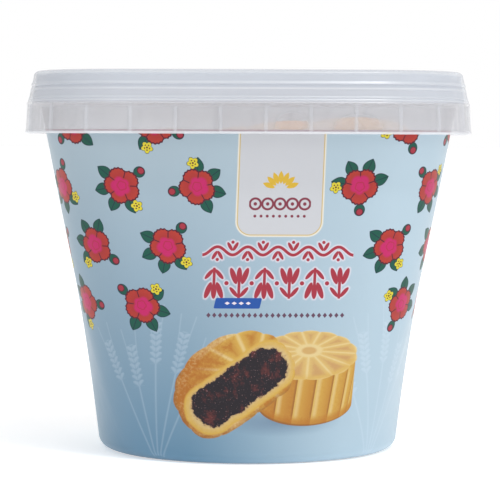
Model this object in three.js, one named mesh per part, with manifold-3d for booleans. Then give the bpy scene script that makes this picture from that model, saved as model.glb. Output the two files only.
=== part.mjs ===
// A shut food tub of biscuits with its push-on lid, in millimetres, +Z up.
// The origin is the centre of the base, on the surface that the tub stands on.
// The tub is round at its foot and flares into a rounded square at its rim.
// The lid is a moulded cap: its hollow bead holds the rim, its middle is let in,
// and its skirt has grip ribs. The top layer of biscuits lies loosely under the lid.
// A profile gives each height's half width, measured from the axis to the middle of a side.

import * as THREE from 'three';
import { mergeVertices } from 'three/addons/utils/BufferGeometryUtils.js';
import Module from 'manifold-3d';

// Foot and wall of the tub
const footRadius = 54.7;
const footFillet = 4.6;
const footRing = 7; // width of the flat ring that the tub stands on
const footHollow = 1.5; // how far the middle of the base is let in
const footSlope = 1.5; // width of the slope between the ring and the hollow
const wallHeight = 124.6; // up to the underside of the rim
const wallLean = 0.1147; // millimetres out for each millimetre up, at the foot
const wallBend = 0.000247; // what the lean gains with height
const wallCorner = 28.1; // radius of the corners between the four sides
const wallDiagonal = 90.9; // from the axis to a corner, under the rim
const squaringPower = 0.86; // how soon the round foot turns square on the way up
const wallThickness = 1.1; // where the wall is hollow, over the fill
const fillHeight = 94; // the tub is solid up to here

// Outline of the lid's lip, which the rim and the lid share at their own size
const lipOutline = { half: 79, diagonal: 95.7, corner: 35.1 };

// Lid
const lidThickness = 1.2;
const lidTop = 137.2;
const lipHeight = 115.4; // the skirt's lower edge
const lipRound = 0.3;
const ledgeHeight = 126.2; // where the skirt steps in to the upper wall
const ledgeRise = 0.8;
const skirtDraw = 0.55; // how far the skirt draws in from its lip to the ledge
const upperHalf = 78.1; // the upper wall, just over the ledge
const shoulderHalf = 76.4; // the upper wall, just under the bead
const shoulderHeight = 135;
const lineHeight = 132.6; // a fine raised line round the upper wall
const lineWidth = 1;
const lineRelief = 0.25;
const beadOuterRound = 2;
const beadInnerRound = 1.6;
const beadInnerHalf = 70.6; // the bead's inner side
const panelHeight = 132; // the let-in middle of the lid
const panelRound = 0.8;
const panelDraw = 0.6; // how far the bead's inner side slopes in on its way down
const fieldHalf = 55.5; // a slightly raised field in the panel
const fieldRise = 0.6;
const fieldSlope = 0.8;

// Grip ribs on the skirt
const ribCount = 37;
const ribRadius = 0.8;
const ribRelief = 0.3; // how far a rib stands out of the skirt
const ribPhase = 5.7; // from the middle of the front to the first rib, along the lip
const ribEndGap = 0.5;

// Rim of the tub, inside the lid's bead
const fitGap = 0.4;
const rimUnderRise = 1.4; // height of the slope under the rim
const rimTopRound = 0.7;

// Top layer of biscuits, set in a core that fills the tub from wall to wall
const coreTop = 104;
const biscuitRadius = 21.5;
const biscuitHeight = 19;
const biscuitSide = 11; // height of the fluted side, under the dome
const biscuitFlutes = 11;
const fluteDepth = 1.3;
const domeBend = 0.72; // where the dome turns in, as a share of the radius and of its rise
const biscuitPlaces = [
  // x, y, height of the base, lean in degrees
  [37.5, -43, 102.5, 3],
  [-6, -44.5, 96, -2],
  [15.8, -6, 101.5, 2],
  [-28.5, -7.5, 98.5, -3],
  [-44, 34, 98, 2],
  [-0.5, 34.2, 99.5, -3],
  [43.8, 27.5, 97, 2],
];

// Fineness
const turnSteps = 68;
const cornerCrowding = 0.45; // 0 spreads the steps evenly, more brings them into the corners
const wallSteps = 9;
const innerSteps = 3;
const arcSteps = 2; // a quarter round takes twice as many
const ribSides = 8;
const mergeDistance = 1e-4;

const wasm = await Module();
wasm.setup();

// From the axis to a rounded square's outline, towards an angle.
// Four shallow side arcs run into four corner arcs without a kink.
function outlineReach({ half, diagonal, corner }, angle) {
  const quarter = Math.PI / 2;
  const eighth = Math.PI / 4;
  const folded = Math.abs(THREE.MathUtils.euclideanModulo(angle + eighth, quarter) - eighth);
  const cornerCentre = (diagonal - corner) * Math.SQRT1_2;
  const inset = cornerCentre - half;
  const sideRadius = (corner ** 2 - cornerCentre ** 2 - inset ** 2) / (2 * (inset + corner));
  const sideCentre = half - sideRadius;
  const tangent = Math.atan2(cornerCentre, cornerCentre - sideCentre);
  const joint = Math.atan2(sideRadius * Math.sin(tangent), sideCentre + sideRadius * Math.cos(tangent));
  const [centre, radius, lean] =
    folded <= joint
      ? [sideCentre, sideRadius, folded]
      : [cornerCentre * Math.SQRT2, corner, eighth - folded];
  return centre * Math.cos(lean) + Math.sqrt(radius ** 2 - (centre * Math.sin(lean)) ** 2);
}

// A round stretch of a profile, its angles in quarter turns from straight out.
function roundOff(profile, half, height, radius, from, to) {
  const quarter = Math.PI / 2;
  profile.absarc(half, height, radius, from * quarter, to * quarter, to < from);
}

function wallHalf(height) {
  return footRadius + wallLean * height + wallBend * height ** 2;
}

function tubOutline(height) {
  if (height > wallHeight) return lipOutline;
  const squared = Math.max(height, 0) / wallHeight;
  const diagonal = footRadius + (wallDiagonal - footRadius) * squared ** squaringPower;
  return { half: wallHalf(height), diagonal, corner: wallCorner };
}

// Turns a profile about the axis, then draws each turn out to the outline of its height.
function turned(profile, outlineAt) {
  const lathe = new THREE.LatheGeometry(profile.getPoints(arcSteps), turnSteps);
  lathe.rotateX(Math.PI / 2);
  const position = lathe.attributes.position;
  for (let i = 0; i < position.count; i++) {
    const turn = Math.atan2(position.getY(i), position.getX(i));
    const angle = turn + (cornerCrowding / 4) * Math.sin(4 * turn);
    const outline = outlineAt(position.getZ(i));
    const share = Math.hypot(position.getX(i), position.getY(i)) / outline.half;
    const reach = share * outlineReach(outline, angle);
    position.setXY(i, reach * Math.cos(angle), reach * Math.sin(angle));
  }
  return solidOf(lathe);
}

// A closed surface as a solid: shared corners merged, and the empty triangles at the axis dropped.
function solidOf(geometry) {
  const bare = geometry.clone();
  bare.deleteAttribute('normal');
  bare.deleteAttribute('uv');
  const merged = mergeVertices(bare, mergeDistance);
  const triangles = [];
  for (let i = 0; i < merged.index.count; i += 3) {
    const [a, b, c] = [0, 1, 2].map((k) => merged.index.getX(i + k));
    if (a !== b && b !== c && c !== a) triangles.push(a, b, c);
  }
  const vertProperties = merged.attributes.position.array;
  const triVerts = new Uint32Array(triangles);
  return new wasm.Manifold(new wasm.Mesh({ numProp: 3, vertProperties, triVerts }));
}

function namedMesh(name, solid, material) {
  const { vertProperties, triVerts } = solid.getMesh();
  const geometry = new THREE.BufferGeometry();
  geometry.setAttribute('position', new THREE.BufferAttribute(vertProperties, 3));
  geometry.setIndex(new THREE.BufferAttribute(triVerts, 1));
  geometry.computeVertexNormals();
  const mesh = new THREE.Mesh(geometry, material);
  mesh.name = name;
  return mesh;
}

// The tub: foot ring, rounded heel, flaring wall, the rim that the lid grips, and the hollow down to the fill.
function tubSolid() {
  const profile = new THREE.Path();
  const ringOuter = footRadius - footFillet;
  profile.moveTo(0, footHollow);
  profile.lineTo(ringOuter - footRing - footSlope, footHollow);
  profile.lineTo(ringOuter - footRing, 0);

  const leanAngle = Math.atan(wallLean);
  const heelRise = footFillet * (1 - Math.sin(leanAngle));
  const heelCentre = footRadius + wallLean * heelRise - footFillet * Math.cos(leanAngle);
  profile.lineTo(heelCentre, 0);
  roundOff(profile, heelCentre, footFillet, footFillet, -1, -leanAngle / (Math.PI / 2));
  for (let i = 1; i <= wallSteps; i++) {
    const height = heelRise + ((wallHeight - heelRise) * i) / wallSteps;
    profile.lineTo(wallHalf(height), height);
  }

  const outerGap = lidThickness + fitGap;
  const rimTop = lidTop - outerGap;
  const level = panelHeight - outerGap;
  const innerHalf = beadInnerHalf + outerGap;
  const shoulder = shoulderHalf - outerGap;
  profile.lineTo(upperHalf - outerGap, wallHeight + rimUnderRise);
  profile.lineTo(upperHalf - outerGap, ledgeHeight + ledgeRise);
  roundOff(profile, shoulder - rimTopRound, rimTop - rimTopRound, rimTopRound, 0, 1);
  roundOff(profile, innerHalf + rimTopRound, rimTop - rimTopRound, rimTopRound, 1, 2);
  profile.lineTo(innerHalf - panelDraw, level);
  for (let i = 0; i <= innerSteps; i++) {
    const height = wallHeight - ((wallHeight - fillHeight) * i) / innerSteps;
    profile.lineTo(wallHalf(height) - wallThickness, height);
  }
  profile.lineTo(0, fillHeight);
  return turned(profile, tubOutline);
}

// The core under the biscuits, clear of the tub all round.
function biscuitCore() {
  const low = fillHeight + fitGap;
  const inset = wallThickness + fitGap;
  const profile = new THREE.Path();
  profile.moveTo(0, low);
  profile.lineTo(wallHalf(low) - inset, low);
  profile.lineTo(wallHalf(coreTop) - inset, coreTop);
  profile.lineTo(0, coreTop);
  return turned(profile, tubOutline);
}

// A round biscuit with a fluted side and a low dome. Every other corner of a turn is drawn in.
function biscuitSolid([x, y, base, lean]) {
  const rise = biscuitHeight - biscuitSide;
  const profile = [
    new THREE.Vector2(0, 0),
    new THREE.Vector2(biscuitRadius, 0),
    new THREE.Vector2(biscuitRadius, biscuitSide),
    new THREE.Vector2(biscuitRadius * domeBend, biscuitSide + rise * domeBend),
    new THREE.Vector2(0, biscuitHeight),
  ];
  const lathe = new THREE.LatheGeometry(profile, 2 * biscuitFlutes);
  lathe.rotateX(Math.PI / 2);
  const position = lathe.attributes.position;
  for (let i = 0; i < position.count; i++) {
    const turn = Math.atan2(position.getY(i), position.getX(i)) + Math.PI / 2;
    const drawn = Math.round((turn * biscuitFlutes) / Math.PI) % 2 !== 0;
    const share = drawn ? 1 - fluteDepth / biscuitRadius : 1;
    position.setXY(i, position.getX(i) * share, position.getY(i) * share);
  }
  lathe.rotateX(THREE.MathUtils.degToRad(lean));
  lathe.translate(x, y, base);
  return solidOf(lathe);
}

function biscuitLayer() {
  return wasm.Manifold.union([biscuitCore(), ...biscuitPlaces.map(biscuitSolid)]);
}

// The lid, from the middle of its underside out to the lip and back over its top.
function lidShell() {
  const profile = new THREE.Path();
  const t = lidThickness;
  const panelHalf = beadInnerHalf - panelDraw;
  const outerBead = [shoulderHalf - beadOuterRound, lidTop - beadOuterRound];
  const innerBead = [beadInnerHalf + beadInnerRound, lidTop - beadInnerRound];

  profile.moveTo(0, panelHeight + fieldRise - t);
  profile.lineTo(fieldHalf - fieldSlope, panelHeight + fieldRise - t);
  profile.lineTo(fieldHalf, panelHeight - t);
  const plugRound = panelRound + t / 2;
  roundOff(profile, panelHalf + t - plugRound, panelHeight - t + plugRound, plugRound, -1, 0);
  roundOff(profile, ...innerBead, beadInnerRound - t, 2, 1);
  roundOff(profile, ...outerBead, beadOuterRound - t, 1, 0);
  const lipHalf = lipOutline.half;
  const skirtTop = lipHalf - skirtDraw;
  profile.lineTo(upperHalf - t, ledgeHeight + ledgeRise - t / 2);
  profile.lineTo(skirtTop - t, ledgeHeight - t / 2);
  profile.lineTo(lipHalf - t, lipHeight + lipRound);
  profile.lineTo(lipHalf - t + lipRound, lipHeight);

  profile.lineTo(lipHalf - lipRound, lipHeight);
  profile.lineTo(lipHalf, lipHeight + lipRound);
  profile.lineTo(skirtTop, ledgeHeight);
  profile.lineTo(upperHalf, ledgeHeight + ledgeRise);
  const wallDraw = (upperHalf - shoulderHalf) / (shoulderHeight - ledgeHeight - ledgeRise);
  for (const [step, relief] of [[-1, 0], [0, lineRelief], [1, 0]]) {
    const height = lineHeight + (step * lineWidth) / 2;
    profile.lineTo(shoulderHalf + wallDraw * (shoulderHeight - height) + relief, height);
  }
  roundOff(profile, ...outerBead, beadOuterRound, 0, 1);
  roundOff(profile, ...innerBead, beadInnerRound, 1, 2);
  roundOff(profile, panelHalf - panelRound, panelHeight + panelRound, panelRound, 0, -1);
  profile.lineTo(fieldHalf, panelHeight);
  profile.lineTo(fieldHalf - fieldSlope, panelHeight + fieldRise);
  profile.lineTo(0, panelHeight + fieldRise);
  return turned(profile, () => lipOutline);
}

// Points spaced evenly along the lip, the first at ribPhase from the middle of the front.
function ribPlaces() {
  const outline = new THREE.Path();
  const front = -Math.PI / 2;
  const fineSteps = 720;
  for (let i = 0; i <= fineSteps; i++) {
    const angle = front + (2 * Math.PI * i) / fineSteps;
    const reach = outlineReach(lipOutline, angle);
    const [x, y] = [reach * Math.cos(angle), reach * Math.sin(angle)];
    if (i === 0) outline.moveTo(x, y);
    else outline.lineTo(x, y);
  }
  const lengths = outline.getCurveLengths();
  const around = lengths[lengths.length - 1];
  return Array.from({ length: ribCount }, (_, i) => {
    const along = (ribPhase / around + i / ribCount) % 1;
    return { point: outline.getPointAt(along), tangent: outline.getTangentAt(along) };
  });
}

// One half round rib, leaning in with the skirt.
function ribSolid({ point, tangent }) {
  const low = lipHeight + ribEndGap;
  const high = ledgeHeight - ribEndGap / 2;
  const outward = new THREE.Vector3(tangent.y, -tangent.x, 0);
  const draw = skirtDraw / (ledgeHeight - lipHeight);
  const axis = new THREE.Vector3(0, 0, 1).addScaledVector(outward, -draw);
  const length = (high - low) * axis.length();
  const rib = new THREE.CylinderGeometry(ribRadius, ribRadius, length, ribSides);
  const upright = new THREE.Vector3(0, 1, 0);
  rib.applyQuaternion(new THREE.Quaternion().setFromUnitVectors(upright, axis.clone().normalize()));
  const middle = new THREE.Vector3(point.x, point.y, lipHeight);
  middle.addScaledVector(outward, ribRelief - ribRadius);
  middle.addScaledVector(axis, (low + high) / 2 - lipHeight);
  rib.translate(middle.x, middle.y, middle.z);
  return solidOf(rib);
}

function lidSolid() {
  return wasm.Manifold.union([lidShell(), ...ribPlaces().map(ribSolid)]);
}

const printedTub = new THREE.MeshStandardMaterial({ color: 0xa5c9dc, roughness: 0.35, metalness: 0 });
const bakedDough = new THREE.MeshStandardMaterial({ color: 0xdfaa66, roughness: 0.85, metalness: 0 });
const milkyLid = new THREE.MeshStandardMaterial({
  color: 0xdfe3e8, roughness: 0.3, metalness: 0, transparent: true, opacity: 0.8,
});

const tubWithLid = new THREE.Group();
tubWithLid.add(namedMesh('tub', tubSolid(), printedTub));
tubWithLid.add(namedMesh('biscuits', biscuitLayer(), bakedDough));
tubWithLid.add(namedMesh('lid', lidSolid(), milkyLid));

export default tubWithLid;
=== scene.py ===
# Looks for a shut food tub with its push-on lid: printed wall, milky lid with grip ribs, biscuits inside.
# Lengths are in millimetres and become metres as a mesh is made, but those of the studio are in metres.

from math import atan, atan2, cos, pi, radians, sin, sqrt

import bpy
from mathutils import Matrix, Vector


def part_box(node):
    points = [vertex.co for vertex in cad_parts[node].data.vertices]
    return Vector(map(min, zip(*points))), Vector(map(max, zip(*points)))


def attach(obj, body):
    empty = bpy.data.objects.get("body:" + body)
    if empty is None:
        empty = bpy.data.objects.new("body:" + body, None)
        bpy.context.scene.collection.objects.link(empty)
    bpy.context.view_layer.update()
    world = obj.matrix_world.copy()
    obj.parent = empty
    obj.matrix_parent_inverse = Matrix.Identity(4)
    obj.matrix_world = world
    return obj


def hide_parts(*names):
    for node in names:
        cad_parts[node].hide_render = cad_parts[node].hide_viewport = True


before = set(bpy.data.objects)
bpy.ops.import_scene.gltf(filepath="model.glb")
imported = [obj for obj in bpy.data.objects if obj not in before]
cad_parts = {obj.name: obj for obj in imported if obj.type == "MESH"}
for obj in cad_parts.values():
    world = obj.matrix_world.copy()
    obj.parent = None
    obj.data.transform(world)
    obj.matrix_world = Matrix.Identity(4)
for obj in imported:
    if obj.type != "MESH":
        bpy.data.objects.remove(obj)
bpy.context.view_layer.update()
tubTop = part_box("tub")[1].z * 1000
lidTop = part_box("lid")[1].z * 1000
print("frame loaded, lid top at", round(lidTop, 1), "mm")

mm = 0.001
quarter = pi / 2
scene = bpy.context.scene


def tint(*parts):
    # a colour as a designer names it, 0 to 255, made linear
    shares = [part / 255 for part in parts]
    return (*(x / 12.92 if x <= 0.04045 else ((x + 0.055) / 1.055) ** 2.4 for x in shares), 1.0)


# the tub: a round foot grows into a rounded square rim; heights are from the base
body = {
    "foot": 54.7, "footFillet": 4.6, "footRing": 7, "hollow": 1.5, "footSlope": 1.5,
    "wallTop": 124.6, "wallLean": 0.1147, "wallBend": 0.000247, "skin": 1.1,
    "wallSteps": 60, "corner": 28.1, "diagonal": 90.9, "squaring": 0.86,
    "neckRise": 1.4,  # from the printed wall to the neck inside the lid
    "rimRound": 0.7,
    "fill": 94,  # solid up to here, as nothing lower can be seen
    "fillEdge": 1,
    "coreTop": 104,  # top of the core in which the top biscuits are set
    "fitGap": 0.4,
    "printLow": 0.2,  # faces of the wall between these heights carry the print
    "printHigh": 125.0, "bareTint": tint(198, 200, 205), "bareClear": 0.76,
}
lip = {"half": 79.0, "diagonal": 95.7, "corner": 35.1}
shell = {
    "steps": 240,
    "crowding": 0.45,  # how much closer the steps lie at the corners
    "middle": 20,  # half width of the ring nearest to the axis
    "sharpAngle": 35,
    "wrapSpan": 140,  # height that the wrap map covers
}


def outlineReach(outline, angle):
    # from the axis to a rounded square of four shallow side arcs and four corner arcs
    folded = abs((angle + quarter / 2) % quarter - quarter / 2)
    corner, half = outline["corner"], outline["half"]
    cornerCentre = (outline["diagonal"] - corner) / sqrt(2)
    inset = cornerCentre - half
    sideRadius = (corner ** 2 - cornerCentre ** 2 - inset ** 2) / (2 * (inset + corner))
    sideCentre = half - sideRadius
    tangent = atan2(cornerCentre, cornerCentre - sideCentre)
    joint = atan2(sideRadius * sin(tangent), sideCentre + sideRadius * cos(tangent))
    if folded <= joint:
        centre, radius, lean = sideCentre, sideRadius, folded
    else:
        centre, radius, lean = cornerCentre * sqrt(2), corner, quarter / 2 - folded
    return centre * cos(lean) + sqrt(radius ** 2 - (centre * sin(lean)) ** 2)


def wallHalf(height):
    return body["foot"] + body["wallLean"] * height + body["wallBend"] * height ** 2


def tubOutline(height):
    if height > body["wallTop"]:
        return lip
    squared = max(height, 0) / body["wallTop"]
    grown = (body["diagonal"] - body["foot"]) * squared ** body["squaring"]
    return {"half": wallHalf(height), "diagonal": body["foot"] + grown, "corner": body["corner"]}


def turnAngles():
    # once round from the back, by the left side first
    turns = [quarter + 2 * pi * i / shell["steps"] for i in range(shell["steps"])]
    return [turn + shell["crowding"] / 4 * sin(4 * turn) for turn in turns]


def ring(half, height, outline):
    share = half / outline["half"]
    return [polar(share * outlineReach(outline, angle), angle, height) for angle in turnAngles()]


def polar(reach, angle, height=0):
    return Vector((reach * cos(angle), reach * sin(angle), height))


def girth(points):
    return sum((b - a).length for a, b in zip(points, points[1:] + points[:1]))


def rounded(centre, radius, start, end, steps=6):
    # a round stretch of a profile, its angles in quarter turns from straight out
    arc = []
    for i in range(steps + 1):
        angle = (start + (end - start) * i / steps) * quarter
        arc.append((centre[0] + radius * cos(angle), centre[1] + radius * sin(angle)))
    return arc


def ramp(start, end, steps):
    return [tuple(a + (b - a) * i / steps for a, b in zip(start, end)) for i in range(steps + 1)]


def shellFaces(first, ringCount, steps):
    # a closed turned shell from the first vertex on: a pole, its rings and the other pole
    last = first + 1 + ringCount * steps
    faces = []
    for i in range(steps):
        after = (i + 1) % steps
        faces.append((first, first + 1 + after, first + 1 + i))
        for low in range(first + 1, last - steps, steps):
            high = low + steps
            faces.append((low + i, low + after, high + after, high + i))
        faces.append((last - steps + i, last - steps + after, last))
    return faces


def addObject(name, data):
    made = bpy.data.objects.new(name, data)
    scene.collection.objects.link(made)
    return made


def smoothPiece(name, mesh):
    mesh.polygons.foreach_set("use_smooth", [True] * len(mesh.polygons))
    return addObject(name, mesh)


def turnedPiece(name, profile, outlineAt):
    # profile: (half width, height) from the axis out, up and back to the axis
    rings = [ring(half, height, outlineAt(height)) for half, height in profile[1:-1]]
    foot, head = (Vector((0, 0, profile[end][1])) for end in (0, -1))
    vertices = [foot] + [point for points in rings for point in points] + [head]

    # the wrap map runs once round, by length, and up by height
    shares = []
    for points in rings:
        along, total = [0.0], girth(points)
        for a, b in zip(points, points[1:] + points[:1]):
            along.append(along[-1] + (b - a).length / total)
        shares.append([(share, points[0].z / shell["wrapSpan"]) for share in along])
    low, high = shares[0], shares[-1]
    wrap = []
    for i in range(shell["steps"]):
        wrap += [((low[i][0] + low[i + 1][0]) / 2, low[i][1]), low[i + 1], low[i]]
        for under, over in zip(shares, shares[1:]):
            wrap += [under[i], under[i + 1], over[i + 1], over[i]]
        wrap += [high[i], high[i + 1], ((high[i][0] + high[i + 1][0]) / 2, high[i][1])]

    mesh = bpy.data.meshes.new(name)
    mesh.from_pydata([v * mm for v in vertices], [], shellFaces(0, len(rings), shell["steps"]))
    mesh.uv_layers.new(name="wrap").uv.foreach_set("vector", [value for pair in wrap for value in pair])
    piece = smoothPiece(name, mesh)
    mesh.set_sharp_from_angle(angle=radians(shell["sharpAngle"]))
    mesh.update()
    return piece


def plug(tree, socket, value):
    if isinstance(value, Number):
        value = value.socket
    if isinstance(value, bpy.types.NodeSocket):
        tree.links.new(value, socket)
    else:
        socket.default_value = value


def addNode(tree, kind, settings=None, values=None):
    # any node: its settings first, then the values or links of its sockets
    made = tree.nodes.new(kind)
    for key, value in (settings or {}).items():
        setattr(made, key, value)
    for key, value in (values or {}).items():
        plug(tree, made.inputs[key], value)
    return made


def operators(operation):
    # an operator and its reflected form
    return (lambda self, other: self.finish.sum(operation, self, other),
            lambda self, other: self.finish.sum(operation, other, self))


def applied(operation):
    return lambda self, *others: self.math(operation, *others)


class Number:
    # a number that varies over a surface; its operators add Math nodes, & is the lesser and | the greater
    def __init__(self, finish, socket):
        self.finish = finish
        self.socket = socket

    __add__, __radd__ = operators("ADD")
    __sub__, __rsub__ = operators("SUBTRACT")
    __mul__, __rmul__ = operators("MULTIPLY")
    __truediv__, __rtruediv__ = operators("DIVIDE")
    __mod__, __rmod__ = operators("FLOORED_MODULO")
    __pow__, __rpow__ = operators("POWER")
    __and__, __rand__ = operators("MINIMUM")
    __or__, __ror__ = operators("MAXIMUM")
    __gt__ = applied("GREATER_THAN")
    __lt__ = applied("LESS_THAN")
    __abs__ = applied("ABSOLUTE")
    floor = applied("FLOOR")
    sin = applied("SINE")
    cos = applied("COSINE")

    def math(self, operation, *others, clamp=False):
        return self.finish.sum(operation, self, *others, clamp=clamp)

    def inside(self, soft=0.12):
        # 1 where the number is above nought, 0 below, with an edge of that width
        return self.math("MULTIPLY_ADD", 1 / soft, 0.5, clamp=True)

    def repeated(self, step):
        # how far past the nearest of marks that are a step apart
        return (self / step + 0.5) % 1 * step - step / 2


class Finish:
    def __init__(self, name):
        self.material = bpy.data.materials.new(name)
        self.material.use_nodes = True
        self.tree = self.material.node_tree
        self.shader = self.tree.nodes["Principled BSDF"]

    def node(self, kind, settings=None, values=None):
        return addNode(self.tree, kind, settings, values)

    def sum(self, operation, *terms, clamp=False):
        settings = {"operation": operation, "use_clamp": clamp}
        made = self.node("ShaderNodeMath", settings, dict(enumerate(terms)))
        return Number(self, made.outputs[0])

    def vector(self, operation, *terms, output=0):
        made = self.node("ShaderNodeVectorMath", {"operation": operation}, dict(enumerate(terms)))
        return made.outputs[output]

    def length(self, place):
        return Number(self, self.vector("LENGTH", place, output="Value"))

    def join(self, x, y):
        return self.node("ShaderNodeCombineXYZ", values={"X": x, "Y": y}).outputs[0]

    def split(self, place):
        parts = self.node("ShaderNodeSeparateXYZ", values={"Vector": place}).outputs
        return [Number(self, part) for part in parts]

    def local(self, place, centre, turn=0.0, size=(1.0, 1.0)):
        # the place as seen from a shape that has that centre, turn in degrees, and size
        values = {"Vector": place, "Location": (*centre, 0), "Rotation": (0, 0, radians(turn)),
        "Scale": (*size, 1)}
        return self.node("ShaderNodeMapping", {"vector_type": "TEXTURE"}, values).outputs[0]

    def oval(self, place, centre, size, turn=0.0):
        # how far inside an ellipse with those half sizes
        spot = self.local(place, centre, turn)
        near = self.length(self.vector("DIVIDE", spot, (*size, 1)))
        steep = self.length(self.vector("DIVIDE", spot, (size[0] ** 2, size[1] ** 2, 1)))
        return near * (1 - near) / steep

    def box(self, place, centre, half, corner, turn=0.0):
        # how far inside a rounded rectangle
        inner = tuple(side - corner for side in half)
        spot = self.vector("ABSOLUTE", self.local(place, centre, turn))
        beyond = self.vector("MAXIMUM", self.vector("SUBTRACT", spot, (*inner, 0)), (0, 0, 0))
        return corner - self.length(beyond)

    def noise(self, place, scale, detail=2.0, roughness=0.5):
        values = {"Vector": place, "Scale": scale, "Detail": detail, "Roughness": roughness}
        return Number(self, self.node("ShaderNodeTexNoise", None, values).outputs["Fac"])

    def between(self, under, over, amount):
        made = self.node("ShaderNodeMix", {"data_type": "RGBA"}, {0: amount, 6: under, 7: over})
        return made.outputs[2]

    def paint(self, colour, *layers):
        # inks or colours laid over one another, each by its amount
        for over, amount in layers:
            colour = self.between(colour, ink[over] if isinstance(over, str) else over, amount)
        return colour

    def set(self, **sockets):
        for name, value in sockets.items():
            plug(self.tree, self.shader.inputs[name.replace("_", " ")], value)
        return self.material

    def place(self):
        return self.node("ShaderNodeTexCoord").outputs["Object"]


# the lid: half widths from the axis, heights from the tub's base
lid = {
    "thickness": 1.2, "lip": 115.4, "lipRound": 0.35, "ledge": 126.2,
    "ledgeRise": 0.8,
    # the lip's bead and the two steps of the ledge's double line: how far out and how far up each point is
    "lipLine": [(0.22, 1.0), (0.088, 1.35), (-0.04, 1.6), (-0.1, 2.4)],
    "skirtLine": [(0.02, -1.2), (0.02, -0.85), (0.24, -0.7), (0.3, -0.5), (0.28, -0.4)],
    "stepLine": [(0, 0.1), (-0.1, 0.22), (-0.12, 0.34)],
    "upperLine": [(0.3, 0.46), (0.28, 0.58), (0.02, 1.04)],
    "skirtDraw": 0.55, "skirtGap": 0.4, "upperHalf": 78.1, "upperStart": 0.35, "upperSteps": 80,
    "shoulderHalf": 76.4, "shoulder": 135.0,
    # fine rings round the upper wall: height, slopes above and below, and how far they stand out
    "rings": [(132.35, 0.95, 0.5, 0.31), (131.7, 0.4, 0.4, -0.08), (130.5, 0.6, 0.4, 0.13),
              (127.7, 0.5, 0.4, 0.15)],
    "outerRound": 2.0, "innerRound": 1.6, "innerHalf": 70.6, "panel": 132.0,
    "panelRound": 0.8, "panelDraw": 0.6, "fieldHalf": 55.5, "fieldRise": 0.6, "fieldSlope": 0.8,
    "fieldEdge": (0.3, 0.03), "fieldInnerHalf": 40,
    "gateRadius": 3.0,  # the little disc where the plastic was let in
    "gateRise": 0.35, "gateEdge": (0.3, 0.06, 0.25),
    "clear": 0.7,  # what one face of the skirt lets through
    "upperClear": 0.5, "skirtTint": tint(182, 182, 187), "upperTint": tint(192, 198, 207),
    "upperEdge": 1.2, "highlightTint": tint(244, 247, 251), "creaseShadeTint": tint(150, 158, 172),
    # painted lines along the fine rings: painted highlights, and painted shade in the crease where the
    # strength is negative: height, half width and strength
    "lines": [(132.8, 0.7, 0.32), (131.7, 0.65, -0.2), (130.8, 0.5, 0.4), (127.9, 0.5, 0.18),
              (126.8, 0.5, 0.3), (125.9, 0.35, 0.35)],
    "lineFade": (16.0, 2.2, 0.35),  # scale, contrast and loss of the noise that breaks the painted highlight and shade lines up
    # the lip: how far up it is denser and painted paler, a painted highlight along its edge over the denser
    # plastic; how soft its edge, how much denser and how much paler
    "lipBand": (0.85, 0.4, 0.22, 0.45),
}
milk = {
    "cloudScale": 22.0, "cloudTint": tint(236, 240, 246), "cloudContrast": 0.6,
    "cloudShare": 0.15, "cloudDensity": 0.08, "roughness": 0.22, "specular": 0.4,
    "glow": 0.15,  # stands for the light that the milky plastic scatters
}


def upperWall():
    # the finely ringed wall from the ledge up to the shoulder
    foot = lid["ledge"] + lid["ledgeRise"]
    start, end = foot + lid["upperStart"], lid["shoulder"]
    draw = (lid["upperHalf"] - lid["shoulderHalf"]) / (end - foot)
    points = []
    for i in range(lid["upperSteps"] + 1):
        height = start + (end - start) * i / lid["upperSteps"]
        half = lid["shoulderHalf"] + draw * (end - height)
        for middle, above, below, relief in lid["rings"]:
            off = (height - middle) / above if height > middle else (middle - height) / below
            half += relief * max(0, 1 - off)
        points.append((half, height))
    return points


def lidUnderside(outer, inner, panelHalf):
    # from the axis out under the middle, over inside the bead and down inside the skirt
    t, panel, field = lid["thickness"], lid["panel"], lid["fieldHalf"]
    level, slope = panel + lid["fieldRise"] - t, lid["fieldSlope"]
    fillet = lid["panelRound"] + t / 2
    skirtTop = lip["half"] - lid["skirtDraw"] - t
    skirtLevel = lid["ledge"] - t / 2
    points = [(0, level), (shell["middle"], level), (field - slope, level), (field, panel - t)]
    points += rounded((panelHalf + t - fillet, panel - t + fillet), fillet, -1, 0)
    points += rounded(inner, lid["innerRound"] - t, 2, 1)
    points += rounded(outer, lid["outerRound"] - t, 1, 0)
    points += [(lid["upperHalf"] - t, skirtLevel + lid["ledgeRise"]), (skirtTop, skirtLevel)]
    foot = (lip["half"] - t, lid["lip"] + lid["lipRound"])
    return points + ramp((skirtTop, skirtLevel - lid["skirtGap"]), foot, 6)


def lidSkirt():
    # round the lip, up the skirt and over the ledge
    t, half, low = lid["thickness"], lip["half"], lid["lip"]

    def line(name, half, height):
        return [(half + out, height + up) for out, up in lid[name]]

    bead = lid["lipLine"][0][0]
    lipTurn = rounded((half - t / 2, low + t / 2), t / 2, -2, 0, 8)[1:]
    lipTurn = [(x + bead if x > half - t / 2 else x, height) for x, height in lipTurn]
    lipLine = line("lipLine", half, low)
    skirtLine = line("skirtLine", half - lid["skirtDraw"], lid["ledge"])
    stepLine = line("stepLine", half - lid["skirtDraw"], lid["ledge"])
    upperLine = line("upperLine", lid["upperHalf"], lid["ledge"])
    points = lipTurn + lipLine + ramp(lipLine[-1], skirtLine[0], 8)[1:-1]
    points += skirtLine + ramp(skirtLine[-1], stepLine[0], 3)[1:-1]
    return points + stepLine + upperLine[:1] + ramp(upperLine[1], upperLine[2], 3)


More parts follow.
